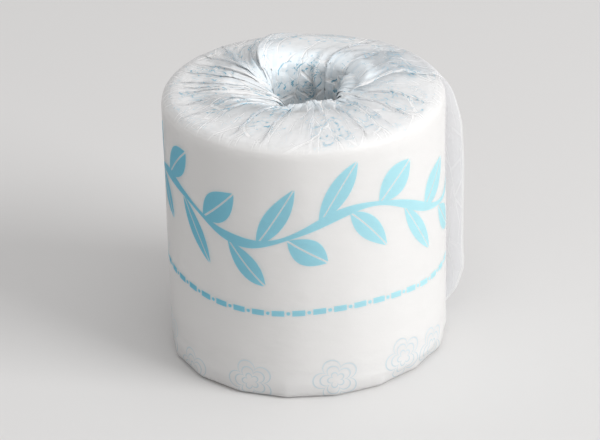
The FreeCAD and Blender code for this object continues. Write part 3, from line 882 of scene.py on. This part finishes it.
def film_material(sleeve_start, length):
    """Thin white film with pale blue print: it lets some light through, and has a soft sheen."""
    material, tree, shader = new_material("printed_film")
    sheet = sheet_places(tree, sleeve_start, length)
    loose = greatest(tree, sheet.on_lid, product(tree, sheet.on_flap, 0.6))
    thick = greatest(tree, sheet.in_hole, sheet.in_tuft)
    crease = crease_lines(tree, sheet)
    ridge, fold_foot_shadow = ridge_highlight_and_shadow(tree, sheet, BACK_FOLD)
    # Lines painted white: creases (partly stress whitening, partly painted highlight), and painted
    # highlights along the free edge and the back fold's ridge.
    lines = greatest(tree, crease, span(tree, sheet.from_edge, *FREE_EDGE_HIGHLIGHT), ridge)
    bold, fine = film_print(tree, sheet)
    # Painted sheen: the ink turns paler towards the right, where the light falls on the side.
    ink = blend_of(tree, span(tree, sheet.across, *PAINTED_SHEEN_TO_RIGHT), INK, SHEEN_PAINTED_INK)
    colour = blend_of(tree, bold, film_white(tree, sheet, fold_foot_shadow, lines), ink)
    colour = blend_of(tree, fine, colour, DEEP_INK)
    set_input(tree, shader.inputs["Base Color"], colour)
    set_input(tree, shader.inputs["Roughness"], blend_of(tree, sheet.on_lid, 0.46, 0.27, "VALUE"))
    shader.inputs["IOR"].default_value = 1.5
    set_input(tree, shader.inputs["Normal"], film_relief(tree, sheet, crease, loose))

    through = tree.nodes.new("ShaderNodeBsdfTranslucent")
    set_input(tree, through.inputs["Color"], colour)
    lit_through = blend_of(tree, loose, SLEEVE_THROUGH, LOOSE_THROUGH, "VALUE")
    lit_through = blend_of(tree, thick, lit_through, THICK_THROUGH, "VALUE")
    body = tree.nodes.new("ShaderNodeMixShader")
    set_input(tree, body.inputs[0], lit_through)
    tree.links.new(shader.outputs[0], body.inputs[1])
    tree.links.new(through.outputs[0], body.inputs[2])

    cover = blend_of(tree, sheet.on_lid, SLEEVE_COVER, LID_COVER, "VALUE")
    cover = blend_of(tree, thick, cover, THICK_COVER, "VALUE")
    cover = blend_of(tree, span(tree, sheet.up, *FOOT_UP), cover, THICK_COVER, "VALUE")
    cover = blend_of(tree, sheet.on_flap, cover, FLAP_COVER, "VALUE")
    marks = greatest(tree, lines, bold, fine)
    cover = calc(tree, "MINIMUM", calc(tree, "MULTIPLY_ADD", marks, MARK_COVER, cover), 1.0)
    clear = tree.nodes.new("ShaderNodeBsdfTransparent")
    film = tree.nodes.new("ShaderNodeMixShader")
    set_input(tree, film.inputs[0], cover)
    tree.links.new(clear.outputs[0], film.inputs[1])
    tree.links.new(body.outputs[0], film.inputs[2])
    tree.links.new(film.outputs[0], tree.nodes["Material Output"].inputs["Surface"])
    return material


def tissue_material():
    """Soft white tissue: fine fibres, and the turns of the winding on its ends."""
    material, tree, shader = new_material("tissue")
    place = position(tree)
    shader.inputs["Roughness"].default_value = 0.9
    shader.inputs["Sheen Weight"].default_value = 0.25
    shader.inputs["Specular IOR Level"].default_value = 0.2
    colour = blend_of(tree, noise(tree, place, 55.0, 3.0), TISSUE_SHADED, TISSUE_WHITE)
    set_input(tree, shader.inputs["Base Color"], colour)
    x, y, _ = parts_of(tree, place)
    winding = product(tree, distance(tree, x, y), WINDING)
    turns = calc(tree, "SINE", calc(tree, "MULTIPLY_ADD", noise(tree, place, 40.0), 6.0, winding))
    fibres = noise(tree, place, 900.0, 4.0, 0.7)
    height = calc(tree, "MULTIPLY_ADD", turns, 0.3, fibres)
    set_input(tree, shader.inputs["Normal"], bumped(tree, height, 0.3, 0.0004))
    return material


def board_material():
    """Grey-brown board wound in a spiral, with a seam."""
    material, tree, shader = new_material("core_board")
    place = position(tree)
    x, y, z = parts_of(tree, place)
    turn = calc(tree, "ARCTAN2", y, x)
    climb = product(tree, z, 1 / SEAM_CLIMB)
    strip = calc(tree, "FRACT", calc(tree, "MULTIPLY_ADD", turn, 1 / (2 * math.pi), climb))
    seam = span(tree, away_from(tree, strip, 0.5), 0.0, 0.012)
    fibres = noise(tree, place, 600.0, 5.0, 0.65)
    colour = blend_of(tree, fibres, BOARD_DARK, BOARD_PALE)
    colour = blend_of(tree, seam, SEAM_BROWN, colour)
    set_input(tree, shader.inputs["Base Color"], colour)
    shader.inputs["Roughness"].default_value = 0.85
    set_input(tree, shader.inputs["Normal"], bumped(tree, calc(tree, "ADD", fibres, seam), 0.3, 0.0004))
    return material


# The wrapper.
places, hold, clearance, across, along = wound_film()
step_u = SHEET_WIDTH / (places.shape[0] - 1)
step_v = along[-1] / (places.shape[1] - 1)
places = settle(places, hold, clearance, step_u, step_v)
wrapper = grid_mesh("film_wrapper", places, across, along)
dress(wrapper, film_material(distance_to_floor(profile()), float(along[-1])))
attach(wrapper, "root")
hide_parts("wrapper")

dress(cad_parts["tissue_roll"], tissue_material())
dress(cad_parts["core_tube"], board_material())

# The floor, the lamps and the camera, in metres.
FLOOR_SIZE = 6.0
LAMP_TARGET = (0, 0, 0.05)
KEY_PLACE = (2.0, -1.08, 1.25)
KEY_SIZE = 1.4
KEY_POWER = 50.0
FILL_PLACE = (0.15, -0.4, 1.8)
FILL_SIZE = 1.6
FILL_POWER = 10.0
SURROUND_STRENGTH = 0.48
CAMERA_RISE = 27.01         # degrees above the floor
CAMERA_FAR = 1.154
CAMERA_AIM = (0.0, 0.0, 0.0484)
CAMERA_ASIDE = -0.00245     # shift of the camera to its own right
CAMERA_UPWARD = -0.001      # and upwards
CAMERA_ROLL = -1.56         # degrees about its own axis
CAMERA_LENS = 184.9
CAMERA_SENSOR = 36.0


def pale_floor():
    """A plain pale floor."""
    size = FLOOR_SIZE
    corners = [(-size, -size, 0), (size, -size, 0), (size, size, 0), (-size, size, 0)]
    mesh = bpy.data.meshes.new("floor")
    mesh.from_pydata(corners, [], [(0, 1, 2, 3)])
    floor = bpy.data.objects.new("floor", mesh)
    bpy.context.scene.collection.objects.link(floor)
    material, tree, shader = new_material("pale_floor")
    shader.inputs["Base Color"].default_value = FLOOR_WHITE
    shader.inputs["Roughness"].default_value = 0.7
    dress(floor, material)


def soft_lamp(name, place, size, power):
    """A square lamp at a place, facing the roll."""
    data = bpy.data.lights.new(name, "AREA")
    data.size = size
    data.energy = power
    lamp = bpy.data.objects.new(name, data)
    lamp.location = place
    lamp.rotation_euler = (Vector(LAMP_TARGET) - Vector(place)).to_track_quat("-Z", "Y").to_euler()
    bpy.context.scene.collection.objects.link(lamp)


def soft_world():
    """An even pale surround."""
    world = bpy.data.worlds.new("surround")
    world.use_nodes = True
    back = world.node_tree.nodes["Background"]
    back.inputs["Color"].default_value = SURROUND_WHITE
    back.inputs["Strength"].default_value = SURROUND_STRENGTH
    bpy.context.scene.world = world


def set_camera():
    """A view from the front and above, as from far away."""
    rise = math.radians(CAMERA_RISE)
    right = Vector((1, 0, 0))
    back = Vector((0, -math.cos(rise), math.sin(rise)))
    above = back.cross(right)
    turned = Matrix((right, above, back)).transposed().to_4x4()
    turned = turned @ Matrix.Rotation(math.radians(CAMERA_ROLL), 4, "Z")
    data = bpy.data.cameras.new("camera")
    data.lens = CAMERA_LENS
    data.sensor_width = CAMERA_SENSOR
    camera = bpy.data.objects.new("camera", data)
    place = Vector(CAMERA_AIM) + back * CAMERA_FAR + right * CAMERA_ASIDE + above * CAMERA_UPWARD
    camera.matrix_world = Matrix.Translation(place) @ turned
    bpy.context.scene.collection.objects.link(camera)
    bpy.context.scene.camera = camera


pale_floor()
soft_lamp("key", KEY_PLACE, KEY_SIZE, KEY_POWER)
soft_lamp("fill", FILL_PLACE, FILL_SIZE, FILL_POWER)
soft_world()
set_camera()
bpy.context.scene.view_settings.view_transform = "Standard"
